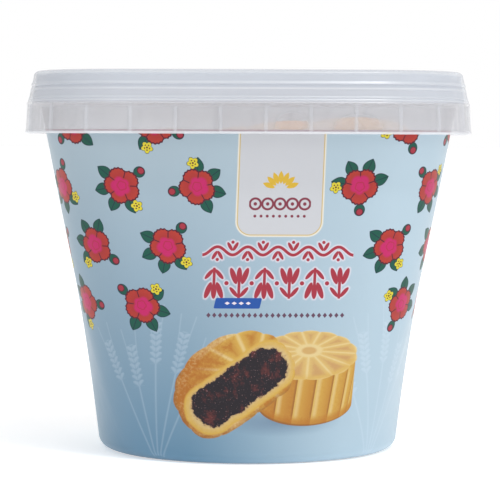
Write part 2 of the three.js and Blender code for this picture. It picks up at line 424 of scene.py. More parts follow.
def lidProfile():
    panel, panelHalf = lid["panel"], lid["innerHalf"] - lid["panelDraw"]
    outer = (lid["shoulderHalf"] - lid["outerRound"], lidTop - lid["outerRound"])
    inner = (lid["innerHalf"] + lid["innerRound"], lidTop - lid["innerRound"])
    points = lidUnderside(outer, inner, panelHalf) + lidSkirt() + upperWall()
    points += rounded(outer, lid["outerRound"], 0, 1, 10)
    points += rounded(inner, lid["innerRound"], 1, 2, 8)
    points += rounded((panelHalf - lid["panelRound"], panel + lid["panelRound"]), lid["panelRound"], 0, -1)
    field, (out, up), top = lid["fieldHalf"], lid["fieldEdge"], panel + lid["fieldRise"]
    points += [(field + out, panel), (field, panel + up)]
    points += [(field - lid["fieldSlope"], top), (lid["fieldInnerHalf"], top)]
    gate, (out, up, back), gateTop = lid["gateRadius"], lid["gateEdge"], top + lid["gateRise"]
    return points + [(gate + out, top), (gate, top + up), (gate - back, gateTop), (0, gateTop)]


def milkyFinish(name, white, clear, banded=False):
    # soft see-through plastic with faint clouds where it flowed into the mould
    f = Finish(name)
    place = f.place()
    flow = f.noise(place, milk["cloudScale"], 2.0) - 0.5
    colour = f.between(white, milk["cloudTint"], (flow * milk["cloudContrast"] + milk["cloudShare"]) & 1)
    solidity = 1 - clear + flow * milk["cloudDensity"]
    if banded:
        height = f.split(place)[2] * 1000
        upper = (height - lid["ledge"]).inside(lid["upperEdge"])
        solidity = solidity + upper * (clear - lid["upperClear"])
        colour = f.between(colour, lid["upperTint"], upper)
        rise, soft, denser, paler = lid["lipBand"]
        band = (lid["lip"] + rise - height).inside(soft)
        solidity = solidity + band * denser
        # painted highlight along the lip's edge
        colour = f.between(colour, lid["highlightTint"], band * paler)
        scale, contrast, loss = lid["lineFade"]
        fading = (f.noise(place, scale, 1.0) * contrast - loss) & 1
        # painted highlights on the rings and the ledge, and painted shade in the crease
        for middle, width, strength in lid["lines"]:
            line = (1 - abs(height - middle) / width).math("MULTIPLY", abs(strength), clamp=True)
            over = lid["highlightTint"] if strength > 0 else lid["creaseShadeTint"]
            colour = f.between(colour, over, line * fading)
    f.set(Base_Color=colour, Alpha=solidity, Roughness=milk["roughness"], IOR=1.5)
    f.set(Specular_IOR_Level=milk["specular"], Emission_Color=white, Emission_Strength=milk["glow"])
    return f.material


lidPiece = turnedPiece("milkyLidShell", lidProfile(), lambda height: lip)
lidPiece.data.materials.append(milkyFinish("milkyLid", lid["skirtTint"], lid["clear"], banded=True))
print("lid made:", len(lidPiece.data.polygons), "faces")


ribs = {
    "count": 37, "radius": 0.65, "relief": 0.32,
    "phase": 5.7,  # from the middle of the front to the first rib
    "endGap": 0.5, "sides": 16, "sharpAngle": 40, "lineSteps": 1440,
    "tint": tint(210, 212, 217), "clear": 0.79,
}


def lipChain():
    # the lip's outline as a closed chain of edges that starts at the first rib
    steps = ribs["lineSteps"]
    turns = [2 * pi * i / steps - quarter for i in range(steps)]
    points = [polar(outlineReach(lip, turn), turn) for turn in turns]
    start, walked = 0, 0.0
    while walked < ribs["phase"]:
        walked += (points[start + 1] - points[start]).length
        start += 1
    points = points[start:] + points[:start]
    mesh = bpy.data.meshes.new("lipLine")
    mesh.from_pydata([p * mm for p in points], [(i, (i + 1) % steps) for i in range(steps)], [])
    return mesh


def ribTree(material):
    # a Geometry Nodes tree that sets one rib at even steps along the lip
    tree = bpy.data.node_groups.new("ribsAlongLip", "GeometryNodeTree")
    for name, kind in (("Geometry", "Geometry"), ("Count", "Int"), ("Rib Radius", "Float"),
        ("Foot", "Vector"), ("Head", "Vector")):
        tree.interface.new_socket(name, in_out="INPUT", socket_type="NodeSocket" + kind)
    tree.interface.new_socket("Geometry", in_out="OUTPUT", socket_type="NodeSocketGeometry")

    def add(kind, settings=None, values=None):
        return addNode(tree, kind, settings, values).outputs

    given = add("NodeGroupInput")
    line = add("GeometryNodeMeshToCurve", None, {"Mesh": given["Geometry"]})[0]
    points = add("GeometryNodeCurveToPoints", {"mode": "COUNT"}, {"Curve": line, "Count": given["Count"]})
    across = {0: points["Tangent"], 1: (0, 0, 1)}
    outward = add("ShaderNodeVectorMath", {"operation": "CROSS_PRODUCT"}, across)[0]
    pivot = {"axis": "X", "pivot_axis": "Z"}
    facing = add("FunctionNodeAlignRotationToVector", pivot, {"Vector": outward})[0]
    axis = add("GeometryNodeCurvePrimitiveLine", None, {"Start": given["Foot"], "End": given["Head"]})[0]
    circle = {"Resolution": ribs["sides"], "Radius": given["Rib Radius"]}
    section = add("GeometryNodeCurvePrimitiveCircle", None, circle)[0]
    swept = {"Curve": axis, "Profile Curve": section, "Fill Caps": True}
    rod = add("GeometryNodeCurveToMesh", None, swept)[0]
    shared = {"Points": points["Points"], "Instance": rod, "Rotation": facing}
    row = add("GeometryNodeInstanceOnPoints", None, shared)[0]
    real = add("GeometryNodeRealizeInstances", None, {"Geometry": row})[0]
    coated = add("GeometryNodeSetMaterial", None, {"Geometry": real, "Material": material})[0]
    add("NodeGroupOutput", None, {0: coated})
    return tree


def ribPiece(material):
    host = addObject("ribHost", lipChain())
    modifier = host.modifiers.new("ribs", "NODES")
    modifier.node_group = ribTree(material)
    keys = {item.name: item.identifier for item in modifier.node_group.interface.items_tree}
    low, high = lid["lip"] + ribs["endGap"], lid["ledge"] - ribs["endGap"]
    sunk = ribs["relief"] - ribs["radius"]
    draw = lid["skirtDraw"] / (lid["ledge"] - lid["lip"])
    modifier[keys["Count"]] = ribs["count"]
    modifier[keys["Rib Radius"]] = ribs["radius"] * mm
    modifier[keys["Foot"]] = (sunk * mm, 0.0, low * mm)
    modifier[keys["Head"]] = ((sunk - draw * (high - low)) * mm, 0.0, high * mm)
    made = bpy.data.meshes.new_from_object(host.evaluated_get(bpy.context.evaluated_depsgraph_get()))
    host.modifiers.clear()
    bpy.data.objects.remove(host)
    made.name = "gripRibs"
    piece = smoothPiece("gripRibs", made)
    made.set_sharp_from_angle(angle=radians(ribs["sharpAngle"]))
    return piece


gripRibs = ribPiece(milkyFinish("milkyRibs", ribs["tint"], ribs["clear"]))
print("ribs made:", ribs["count"], "ribs,", len(gripRibs.data.polygons), "faces")


ink = {
    # the lit sky inks are the sky as if lit from the right: painted light
    "sky": (156, 173, 184), "skyLow": (92, 130, 156), "skyLit": (169, 188, 200),
    "skyLitLow": (162, 184, 198), "bare": (202, 204, 208), "petal": (168, 52, 36),
    "petalDeep": (150, 34, 42), "heart": (180, 24, 92), "outline": (78, 12, 36), "leaf": (8, 76, 62),
    "leafDark": (8, 44, 54), "yellow": (202, 188, 46), "panel": (186, 188, 193),
    "panelEdge": (214, 209, 196), "gold": (186, 162, 108), "goldLeaf": (200, 164, 50),
    "wine": (120, 44, 62), "red": (152, 42, 58), "halo": (222, 210, 218), "blue": (24, 74, 150),
    "mark": (92, 62, 82), "grain": (206, 217, 230), "cream": (212, 196, 150), "crust": (178, 130, 54),
    "crustDeep": (164, 100, 32), "crustPale": (194, 157, 72), "crustShade": (126, 82, 42),
    "crumb": (184, 154, 96), "filling": (26, 20, 28), "fillingRed": (92, 40, 38),
    "fillingPale": (170, 134, 136), "fillingEdge": (136, 94, 78), "underBiscuit": (84, 106, 132),
}
ink = {name: tint(*parts) for name, parts in ink.items()}
# places in a blossom are from its middle; in the other drawings, from the middle of the print and the base
blossom = {
    "columns": 18, "rows": 4, "rowLow": 46.0, "rowStep": 20.6,
    "shift": (3.0, 0.4),  # how far they wander across and up
    "clear": (24, 11),  # their distance from each print's middle, and how much more low down
    "leafTurn": 50, "leafStart": 2.35,
    "leafSide": (-2.36, 1.14),  # bearings between which leaves stand
    "leaf": (6.85, 3.2, 2.05),  # middle, half length and half width
    "stem": ((-5.6, 3.8), (2.2, 0.38), 0.3, -34),  # middle, half size, corner and turn
    "bud": ((-6.7, 4.5), (2.0, 1.75), -34),
    "tip": (1.3, (-7.3, 4.9)),
    "flower": (1.3, 0.7, (5.0, 6.4)),  # radius, depth of its lobes and middle
    "petals": 5,
    "petal": (4.65, 1.3, 0.13),  # radius, depth of the notches between them and their fine frill
    "outline": 0.42, "heart": (2.75, 0.6, (0.5, -0.4)),
}


def blossoms(f, colour, turn, rise, girthHere):
    # blossoms scattered in staggered rows all round, each turned its own way
    columns, half = blossom["columns"], blossom["petals"] / 2
    level = (rise - blossom["rowLow"]) / blossom["rowStep"]
    row = level.floor()
    stagger = ((row + 1) % 2) * 0.5
    across = turn * columns + stagger
    middle = (across.floor() + 0.5 - stagger) / columns
    cell = f.join(across.floor() % columns, row)
    drawn = f.node("ShaderNodeTexWhiteNoise", {"noise_dimensions": "2D"}, {"Vector": cell})
    shiftX, shiftY, _ = f.split(drawn.outputs["Color"])
    x = (across % 1 - 0.5) * (girthHere / columns) + (shiftX - 0.5) * blossom["shift"][0]
    y = (level % 1 - 0.5) * blossom["rowStep"] + (shiftY - 0.5) * blossom["shift"][1]
    away = abs((middle + 0.25) % 0.5 - 0.25) * girthHere
    clear, clearLow = blossom["clear"]
    shown = (away > clear + (row < 1.5) * clearLow) & (row > -0.5) & (row < blossom["rows"] - 0.5)
    spin = {"Vector": f.join(x, y), "Angle": Number(f, drawn.outputs["Value"]) * (2 * pi)}
    turned = f.node("ShaderNodeVectorRotate", {"rotation_type": "Z_AXIS"}, spin).outputs[0]
    p, q, _ = f.split(turned)
    reach = f.length(turned)
    bearing = q.math("ARCTAN2", p)

    # pointed leaves on one side, and a bud on a short stem
    leafTurn = radians(blossom["leafTurn"])
    leafMiddle, leafHalf, leafWidth = blossom["leaf"]
    folded = (bearing + blossom["leafStart"]) % leafTurn - leafTurn / 2
    along = (reach * folded.cos() - leafMiddle) / leafHalf
    aside = abs(reach * folded.sin())
    leaf = (1 - along * along) * leafWidth - aside
    lower = (bearing < blossom["leafSide"][1]) & (bearing > blossom["leafSide"][0])
    stem = f.box(turned, *blossom["stem"])
    bud = f.oval(turned, *blossom["bud"])
    tip = blossom["tip"][0] - f.length(f.local(turned, blossom["tip"][1]))
    colour = f.paint(colour, ("leafDark", (leaf + 0.12).inside() & lower & shown),
        ("leaf", (leaf - 0.14).inside() & (aside > 0.13) & lower & shown),
        ("leafDark", stem.inside() & shown),
        ("leafDark", (bud + 0.12).inside() & shown), ("leaf", (bud - 0.14).inside() & shown),
        ("outline", tip.inside() & shown), ("red", (tip - 0.32).inside() & shown))

    # a small yellow flower beside it
    radius, notch, centre = blossom["flower"]
    small = f.local(turned, centre)
    p, q, _ = f.split(small)
    near = f.length(small)
    lobes = abs((q.math("ARCTAN2", p) * half).cos())
    petal = radius + lobes * notch - near
    dots = 0.22 - (abs(near - 0.9) + (1 - lobes) * 0.5)
    colour = f.paint(colour, ("leafDark", (petal + 0.18).inside() & shown),
        ("yellow", petal.inside() & shown), ("outline", ((0.34 - near).inside() | dots.inside()) & shown))

    # the blossom: notched petals round a bright heart
    wave = abs((bearing * half).cos())
    radius, notch, frill = blossom["petal"]
    edge = radius + (wave ** 0.55) * notch + (bearing * 30).cos() * frill - reach
    petals = f.paint(ink["petalDeep"], ("petal", (reach / 6.4) ** 1.5 & 1))
    gap = (0.16 - wave * reach * 0.35) & (reach - 2.8)
    radius, notch, centre = blossom["heart"]
    heart = radius + wave * notch - f.length(f.local(turned, centre))
    ringed = 0.16 - abs(reach - 1.35 - wave * 0.25)
    return f.paint(colour, ("outline", (edge + blossom["outline"]).inside() & shown),
        (petals, (edge - 0.12).inside() & shown), ("outline", gap.inside(0.1) & (edge > 0.1) & shown),
        ("heart", heart.inside(0.8) & shown), ("petalDeep", ringed.inside(0.2) * 0.7 & shown))


sheaf = {
    "foot": (41.0, -3.0),
    "spread": 11.5,  # degrees from stem to stem
    "stem": (26, 14),  # length, and how much longer some are
    "ear": 15, "beard": 21, "grain": 2.1,
    "strength": (0.17, 0.18),  # of the stems and of the ears
}


def sheaves(f, colour, place):
    # pale grain ears on long stems that spread from one point near the foot
    step, grain = radians(sheaf["spread"]), sheaf["grain"]
    spot = f.local(place, sheaf["foot"])
    x, y, _ = f.split(spot)
    reach = f.length(spot)
    turned = x.math("ARCTAN2", y) / step + 0.5
    index = turned.floor()
    drawn = f.node("ShaderNodeTexWhiteNoise", {"noise_dimensions": "1D"}, {"W": index + 7.3})
    aside = abs((turned % 1 - 0.5) * step * reach)
    beyond = reach - (sheaf["stem"][0] + Number(f, drawn.outputs["Value"]) * sheaf["stem"][1])
    stem = (0.28 - aside) & (0 - beyond) & (reach - 5)
    lean = ((beyond / grain) % 1 - 0.5) * grain - aside * 0.9 + 0.55
    kernel = (0.5 - abs(lean) * 0.62) & (1.15 - abs(aside - 1.05) * 1.15)
    beard = (0.12 - abs(aside - beyond * 0.11 - 0.4)) & (beyond - 3) & (sheaf["beard"] - beyond)
    ear = (kernel & beyond & (sheaf["ear"] - beyond)) | beard
    shown = abs(index) < 2.5
    faint, clear = sheaf["strength"]
    return f.paint(colour, ("grain", (stem.inside(0.5) & shown) * faint),
        ("grain", (ear.inside(0.5) & shown) * clear))


panel = {
    "shape": ((0, 112), (14.2, 31.0), 4.6),  # middle, half size and corner
    "edge": 0.75, "fan": (0, 96.4), "leafTurn": 23,
    "leaf": (4.3, 2.2, 0.92),  # middle, half length and half width
    "chain": (91.6, 4.2, 10.5),  # height, step and half length
    "link": (1.85, 0.38, 0.6),  # its radius and half thickness, and the bead's radius
    "dots": (87.4, 2.1, 9.4), "dot": 0.5,
}


def panelPrint(f, colour, place):
    # the pale panel under the lid: a cream edge, a gold line, a fan of leaves, a chain and dots
    shape = f.box(place, *panel["shape"])
    x, y, _ = f.split(place)
    fan = f.local(place, panel["fan"])
    fanX, fanY, _ = f.split(fan)
    reach = f.length(fan)
    leafTurn = radians(panel["leafTurn"])
    leafMiddle, leafHalf, leafWidth = panel["leaf"]
    turned = fanX.math("ARCTAN2", fanY) / leafTurn + 0.5
    aside = (turned % 1 - 0.5) * leafTurn * reach
    along = (reach - leafMiddle) / leafHalf
    leaf = ((1 - along * along) * leafWidth - abs(aside)) & (3.2 - abs(turned.floor()))

    height, step, half = panel["chain"]
    radius, thickness, bead = panel["link"]
    link = f.length(f.join(x.repeated(step), y - height))
    chain = ((thickness - abs(link - radius)) & (half - abs(x))) | ((bead - link) & (half - abs(x)))
    height, step, half = panel["dots"]
    dot = (panel["dot"] - f.length(f.join(x.repeated(step), y - height))) & (half - abs(x))
    return f.paint(colour, ("panelEdge", (shape + panel["edge"]).inside(0.3)),
        ("panel", (shape - 0.05).inside()), ("gold", (0.17 - abs(shape + 0.1)).inside(0.2)),
        ("goldLeaf", leaf.inside(0.2)), ("wine", (chain | dot).inside(0.2)))


headline = {
    "half": 25.8,
    "vine": (75.4, 1.4, 0.52),  # height, swing and half thickness
    "tulips": 64.2,
    "bar": ((-13.1, 57.2), (7.9, 1.85), 0.5),
    "barSlant": 0.2,
    "marks": (53.0, 24),  # height and half length
}


def headlinePrint(f, colour, place):
    # a leafy vine over tulips that point up and down in turn, a blue bar and a row of small marks
    x, y, _ = f.split(place)
    reach = headline["half"]

    def cell(along, middle, width):
        # a place in one cell of a row, mirrored about the cell's middle, every other cell upside down
        across = along / width + 0.5
        flip = across.floor() % 2 * 2 - 1
        return f.join(abs(across % 1 - 0.5) * width, (y - middle) * flip)

    bend, (height, swing, thickness) = reach / 5, headline["vine"]
    turn = x * (pi / bend)
    slope = 1 + (turn.sin() * (swing * pi / bend)) ** 2
    red = thickness - abs(y - height - turn.cos() * swing) / slope ** 0.5
    sprig = cell(x, height, bend)
    leaves = f.oval(sprig, (0.95, 1.5), (0.6, 1.7), -30) | f.oval(sprig, (0, 3.0), (0.58, 0.58))
    red = red | leaves & (reach - bend / 2 - abs(x)) * 8

    width = reach / 3
    tulip = cell(x + width / 2, headline["tulips"], width)
    red = red | f.oval(tulip, (0, 2.7), (0.95, 2.8)) | f.oval(tulip, (1.95, 2.5), (0.95, 3.0), -20)
    red = red | f.box(tulip, (0, -2.3), (0.5, 3.1), 0.4) | f.oval(tulip, (1.75, -3.1), (0.7, 2.2), -40)
    knot = f.oval(tulip, (width / 2, 0), (0.75, 0.75))
    red = red & (reach - abs(x)) * 8 | knot & (reach - 2 - abs(x)) * 8

    (middle, height), _, _ = headline["bar"]
    bar = f.box(f.join(x - (y - height) * headline["barSlant"], y), *headline["bar"])
    lozenge = 0.55 - abs((x - middle) / 2.4 % 1 - 0.5) * 1.5 - abs(y - height)
    lozenge = lozenge & (4.7 - abs(x - middle))
    height, half = headline["marks"]
    mark = 0.74 - (abs((x / 2) % 1 - 0.5) * 2 + abs(y - height) * 0.8)
    return f.paint(colour, ("halo", (red + 0.42).inside(0.5) * 0.6), ("red", red.inside(0.15)),
        ("blue", bar.inside(0.15)), ("halo", lozenge.inside(0.15)),
        ("mark", (mark & (half - abs(x))).inside(0.15)))


picture = {
    "shadow": ((4.0, 15.5), 0, (22, 5.5)),  # middle, turn and half size
    "whole": (12.0, 16.9),  # middle and half width
    "wholeFoot": (21.4, 7.6),  # height at its sides' ends, and how far it curves down
    "wholeFlute": 22,  # degrees from flute to flute
    # middle, turn, half size, number of petals, where they start and how far the dome lifts the boss
    "wholeTop": ((12.2, 38.9), 0, (17.0, 8.6), 13, 0.3, 0.2),
    "cutTop": ((-6.5, 33.0), 24, (25, 15.0), 15, 0.2, 0.0),
    # middle, half size, corner and turn; the bulge is an oval, without a corner
    "cutBody": ((-12.6, 27.4), (21.8, 11.6), 11.0, 36.5),
    "cutBulge": ((-14.6, 30.0), (21.6, 15.2), 34),
    "cutFace": ((-11.3, 27.6), (20.8, 8.8), 8.5, 36.5),
    "filling": ((-11.5, 27.9), (18.4, 7.3), 7.0, 36.5),
    # scale, detail and roughness of the noise
    "grain": (0.9, 5.0, 0.68), "soft": (0.14, 3.0), "lumps": (0.42, 4.0, 0.7),
    "fine": (1.7, 3.0, 0.7), "warm": (0.2, 2.0),
}


def rosette(f, place, grain, centre, angle, radii, petals, phase, lift):
    # rounded golden petals between pale ridges that run out from a small boss
    spot = f.local(place, centre, angle, radii)
    reach = f.length(spot)
    x, y, _ = f.split(f.local(spot, (0, lift)))
    share = (y.math("ARCTAN2", x) * (petals / (2 * pi)) + phase) % 1
    inner = f.length(f.join(x, y))
    beside = (0.5 - abs(share - 0.5)) * inner * (2 * pi / petals)
    depth = beside & (inner - 0.24) * 0.6 & (1.02 - reach) * 0.8
    full = (depth - 0.02) * 9 + (grain - 0.5) * 0.9
    ridge = (0.022 - depth + (grain - 0.5) * 0.03).inside(0.035)
    crust = f.paint(ink["crustPale"], ("crust", full & 1), ("crustDeep", ((full - 0.75) * 1.1 | 0) & 0.65),
        ("cream", ridge * 0.55), ("crust", (0.15 - inner).inside(0.05)))
    return crust, reach, 1 - abs(share - 0.5) * 2


def wholeBiscuit(f, colour, place, grain):
    # fluted side under a low domed top
    (middle, half), (foot, curve) = picture["whole"], picture["wholeFoot"]
    x, y, _ = f.split(place)
    across = (x - middle) / half
    depth = y - foot + (1 - across * across) ** 0.5 * curve
    side = depth & (1 - abs(across)) * half & (41 - y)
    leant = (x - middle + (38 - y) * 0.11) / 17.6
    share = (leant.math("ARCSINE") * (180 / pi / picture["wholeFlute"]) + 0.35) % 1
    lit = 0.8 - share * 1.15 + (across + 0.3) * 0.25 + (grain - 0.5) * 1.2
    dark = (0.35 - across) * 0.35 + (share - 0.5) * 0.6 + (grain - 0.5)
    reachDown = (depth - 3.0).inside(2.0) * (33.5 - y).inside(2.5)
    crust = f.paint(ink["crust"], ("crustPale", (lit | 0) & 1), ("crustDeep", (dark | 0) & 0.8),
        ("cream", (0.1 - abs(share - 0.16)).inside(0.16) * reachDown * 0.4),
        ("crustShade", (0.05 - abs(share - 0.96)).inside(0.09) * reachDown * 0.65),
        ("crustDeep", (2.4 - depth + (grain - 0.5) * 3).inside(1.8) * 0.6),
        ("crustShade", (0.55 - depth - across * 0.4).inside(0.5) * 0.75))
    top, reach, petal = rosette(f, place, grain, *picture["wholeTop"])
    edge = (reach - 0.84).inside(0.16) * (y < 37.5) * 0.45
    top = f.paint(top, ("cream", 0.3), ("crustPale", edge))
    scallop = 0.97 + (petal ** 0.5) * 0.06
    return f.paint(colour, (crust, side.inside(0.2)), (top, (scallop - reach).inside(0.03)))


def cutBiscuit(f, colour, place, grain, soft):
    # crust with petals, pale crumb and a dark filling, leaning against the whole one
    crust, _, petal = rosette(f, place, grain, *picture["cutTop"])
    shape = f.box(place, *picture["cutBody"]) | f.oval(place, *picture["cutBulge"])
    shape = shape + (petal ** 0.5 - 0.6) * 0.8
    within = shape.inside(0.25)
    x, y, _ = f.split(place)
    flank = ((-19.5 - x) * 0.07 & 0.5) + (soft - 0.5) * 1.2 + (grain - 0.45) * 1.8
    below = (24.5 - y + (x + 12) * 0.72).inside(3.0)
    shade = (0.8 - shape + (soft - 0.5) * 3).inside(1.2) * (y < 33) * 0.5
    crust = f.paint(crust, ("crustDeep", (flank + 0.28 | 0) & 1),
        ("crustDeep", below * ((grain - 0.3) * 2.2 | 0) & 0.8), ("crustShade", shade))
    face = f.box(place, *picture["cutFace"]) + (soft - 0.5) * 1.6
    crumb = f.paint(ink["crumb"], ("cream", (grain * 1.6 - 0.5 | 0) & 1),
        ("crustPale", (1.2 - face + (grain - 0.5) * 2).inside(1.2) * 0.7))

    lumps = f.noise(place, *picture["lumps"])
    fine = f.noise(place, *picture["fine"])
    ragged = f.box(place, *picture["filling"]) + (lumps - 0.5) * 3.6 + (soft - 0.5) * 3 + (fine - 0.5) * 0.9
    warm = f.noise(place, *picture["warm"]) * 4 + (lumps - 0.5) * 3 + (fine - 0.5) * 1.6
    paste = f.paint(ink["filling"], ("fillingRed", (warm - 2.08 | 0) & 1),
        ("fillingPale", (fine - 0.66).inside(0.05) * 0.7))
    return f.paint(colour, (crust, within), ("crustPale", (face + 0.7).inside(0.7) & within),
        (crumb, (face + (grain - 0.5) * 0.8).inside(0.3) & within),
        ("fillingEdge", (ragged + 0.3).inside(0.6) * 0.6 & within), (paste, ragged.inside(0.25)))


def biscuitPicture(f, colour, place):
    grain = f.noise(place, *picture["grain"])
    soft = f.noise(place, *picture["soft"])
    shade = (1 - f.length(f.local(place, *picture["shadow"]))) * 1.4
    colour = f.paint(colour, ("underBiscuit", shade.math("MULTIPLY", 0.5, clamp=True)))
    colour = wholeBiscuit(f, colour, place, grain)
    return cutBiscuit(f, colour, place, grain, soft)


label = {
    "low": 0.3, "high": 116.9,
    "turn": 0.0225,  # the print sits this share of a turn to the right of the front
    "litSkySwing": 0.58,  # how much paler the sky is painted on the right of each print: painted light, as if lit from the right
    "skyHeight": 110,
    "edge": (0.75, 0.9),  # width and strength of the dark line along the top
    "solid": 0.52,  # how dense the bare wall over the print is
    # where biscuits lie against the bare wall and show more clearly: middle and half size
    "touches": [((2.8, 118), (5.2, 4.5)), ((25.5, 117.4), (8, 4.5))],
    "touchSoft": 5.0, "touchClear": 0.42, "mottle": 260.0,
    "bump": {"Strength": 0.08, "Distance": 0.0003},
    "roughness": (0.36, 0.1),
}


def labelFinish(girthFoot, girthTop):
    f = Finish("printedWall")
    wrap = f.node("ShaderNodeUVMap", {"uv_map": "wrap"}).outputs[0]
    turn, level, _ = f.split(wrap)
    rise = level * shell["wrapSpan"]
    girthHere = girthFoot + rise * ((girthTop - girthFoot) / body["wallTop"])
    arc = ((turn + 0.25 - label["turn"]) % 0.5 - 0.25) * girthHere
    place = f.join(arc, rise)

    # the sky is painted deeper on the left of each print and paler on the right, painted shade and painted
    # light as if lit from the right; it is also deeper low down
    litFromRight = (arc / girthHere * (4 * pi)).sin() * label["litSkySwing"] + 0.5
    deep = f.paint(ink["skyLow"], ("sky", (rise / label["skyHeight"]) & 1))
    pale = f.paint(ink["skyLitLow"], ("skyLit", (rise / label["skyHeight"]) & 1))
    colour = f.between(deep, pale, (litFromRight | 0) & 1)
    colour = sheaves(f, colour, f.join(abs(arc), rise))
    colour = blossoms(f, colour, turn - label["turn"], rise, girthHere)
    for draw in (panelPrint, headlinePrint, biscuitPicture):
        colour = draw(f, colour, place)
    width, strength = label["edge"]
    colour = f.paint(colour, ("wine", (rise - label["high"] + width).inside() & strength))

    printed = (rise - label["low"]).inside() & (label["high"] - rise).inside()
    colour = f.between(ink["bare"], colour, printed)
    first, second = label["touches"]
    touch = (f.oval(place, *first) | f.oval(place, *second)).inside(label["touchSoft"])
    bare = label["solid"] - touch * touch * (3 - touch * 2) * label["touchClear"]
    mottle = f.noise(f.place(), label["mottle"], 2.0) - 0.5
    bump = f.node("ShaderNodeBump", None, {**label["bump"], "Height": mottle})
    base, change = label["roughness"]
    f.set(Base_Color=colour, Alpha=bare | (rise < label["high"]), Roughness=base + mottle * change)
    f.set(Normal=bump.outputs[0], IOR=1.4, Specular_IOR_Level=0.4)
    return f.material


def tubOutside():
    # from the axis out under the foot, up the printed wall and the neck to the rim
    foot, fillet = body["foot"], body["footFillet"]
    hollow, ringInner = body["hollow"], foot - fillet - body["footRing"]
    lean = atan(body["wallLean"])
    heelRise = fillet * (1 - sin(lean))
    heelCentre = foot + body["wallLean"] * heelRise - fillet * cos(lean)
    points = [(0, hollow), (shell["middle"], hollow)]
    points += [(ringInner - body["footSlope"], hollow), (ringInner, 0)]
    points += rounded((heelCentre, fillet), fillet, -1, -lean / quarter, 12)
    steps = body["wallSteps"]
    wall = [heelRise + (body["wallTop"] - heelRise) * i / steps for i in range(1, steps + 1)]
    points += [(wallHalf(height), height) for height in wall]
    gap, turn = lid["thickness"] + body["fitGap"], body["rimRound"]
    neck, shoulder = lid["upperHalf"] - gap, lid["shoulderHalf"] - gap
    points += [(neck, body["wallTop"] + body["neckRise"]), (neck, lid["ledge"] + lid["ledgeRise"])]
    return points + rounded((shoulder - turn, tubTop - turn), turn, 0, 1), wall


def tubInside(wall):
    # from the rim down to what fills the tub, and in to the axis
    thick, fill, turn = body["skin"], body["fill"], body["rimRound"]
    gap = lid["thickness"] + body["fitGap"]
    half = lid["innerHalf"] + gap
    points = rounded((half + turn, tubTop - turn), turn, 1, 2)
    points += [(half - lid["panelDraw"], lid["panel"] - gap)]
    above = [height for height in reversed(wall) if height > fill + body["fillEdge"]]
    points += [(wallHalf(height) - thick, height) for height in above]
    return points + [(wallHalf(fill) - thick, fill), (shell["middle"], fill), (0, fill)]


outside, wallLevels = tubOutside()
tubPiece = turnedPiece("printedTub", outside + tubInside(wallLevels), tubOutline)
girthFoot = 2 * pi * body["foot"]
girthTop = girth(ring(wallHalf(body["wallTop"]), body["wallTop"], tubOutline(body["wallTop"])))
tubPiece.data.materials.append(labelFinish(girthFoot, girthTop))
tubPiece.data.materials.append(milkyFinish("bareTub", body["bareTint"], body["bareClear"]))
for polygon in tubPiece.data.polygons:
    outward = polygon.normal.x * polygon.center.x + polygon.normal.y * polygon.center.y
    onWall = body["printLow"] * mm < polygon.center.z < body["printHigh"] * mm and outward > 0
    polygon.material_index = 0 if onWall else 1
print("tub made:", len(tubPiece.data.polygons), "faces, label", round(girthTop), "mm round")


# the top layer inside, seen hazily through the lid
biscuit = {
    "radius": 21.5, "side": 11.0, "height": 19.0,
    "foot": [(0.5, 0.0), (0.93, 0.0), (0.985, 0.5), (1.0, 1.5)],  # share of the radius, and height
    "sideSteps": 5, "topSteps": 12, "dome": 0.8, "flutes": 18,
    "fluteDepth": (0.054, 0.027),  # side and top, as shares of the radius
    "petals": 10, "petalDepth": 0.9, "turnSteps": 108, "dough": tint(246, 200, 112),
    "browned": tint(228, 150, 70),
    "bump": {"Strength": 0.3, "Distance": 0.0006},
    "glow": (tint(240, 186, 100), 0.2),  # light that the milky wall scatters on to them
    # middle of each biscuit's base, and how it leans in degrees
    "places": [(37.5, -43, 102.5, 3), (-6, -44.5, 96, -2), (15.8, -6, 101.5, 2), (-28.5, -7.5, 98.5, -3),
               (-44, 34, 98, 2), (-0.5, 34.2, 99.5, -3), (43.8, 27.5, 97, 2)],
}


def biscuitRings():
    side, lift = biscuit["side"], biscuit["height"] - biscuit["side"]
    low, high, steps = biscuit["sideSteps"], biscuit["topSteps"], biscuit["turnSteps"]
    stations = biscuit["foot"] + [(1.0, side * i / low) for i in range(1, low + 1)]
    for i in range(1, high):
        lean = i * quarter / high
        stations.append((cos(lean), side + lift * sin(lean) ** biscuit["dome"]))
    rings = []
    for share, height in stations:
        onTop = height > side + 1
        depth, points = biscuit["fluteDepth"][onTop], []
        for i in range(steps):
            angle = 2 * pi * i / steps
            flute = abs(sin(angle * biscuit["flutes"] / 2))
            petal = biscuit["petalDepth"] * abs(sin(angle * biscuit["petals"] / 2))
            sunk = petal * sin(pi * min(share, 1)) if onTop else 0
            reach = biscuit["radius"] * share * (1 - depth + depth * flute)
            points.append(polar(reach, angle, height - sunk))
        rings.append(points)
    return rings


def biscuitPile():
    rings, steps = biscuitRings(), biscuit["turnSteps"]
    points = [point for points in rings for point in points]
    points = [Vector()] + points + [Vector((0, 0, biscuit["height"]))]
    vertices, faces = [], []
    for x, y, z, lean in biscuit["places"]:
        place = Matrix.Translation((x, y, z)) @ Matrix.Rotation(radians(lean), 4, "X")
        place = place @ Matrix.Rotation(x + y, 4, "Z")
        faces += shellFaces(len(vertices), len(rings), steps)
        vertices += [place @ point for point in points]
    mesh = bpy.data.meshes.new("topBiscuits")
    mesh.from_pydata([v * mm for v in vertices], [], faces)
    return smoothPiece("topBiscuits", mesh)


def coreProfile():
    low, high, middle = body["fill"] + body["fitGap"], body["coreTop"], shell["middle"]
    inset = body["skin"] + body["fitGap"]
    under = [(0, low), (middle, low), (wallHalf(low) - inset, low)]
    return under + [(wallHalf(high) - inset, high), (middle, high), (0, high)]


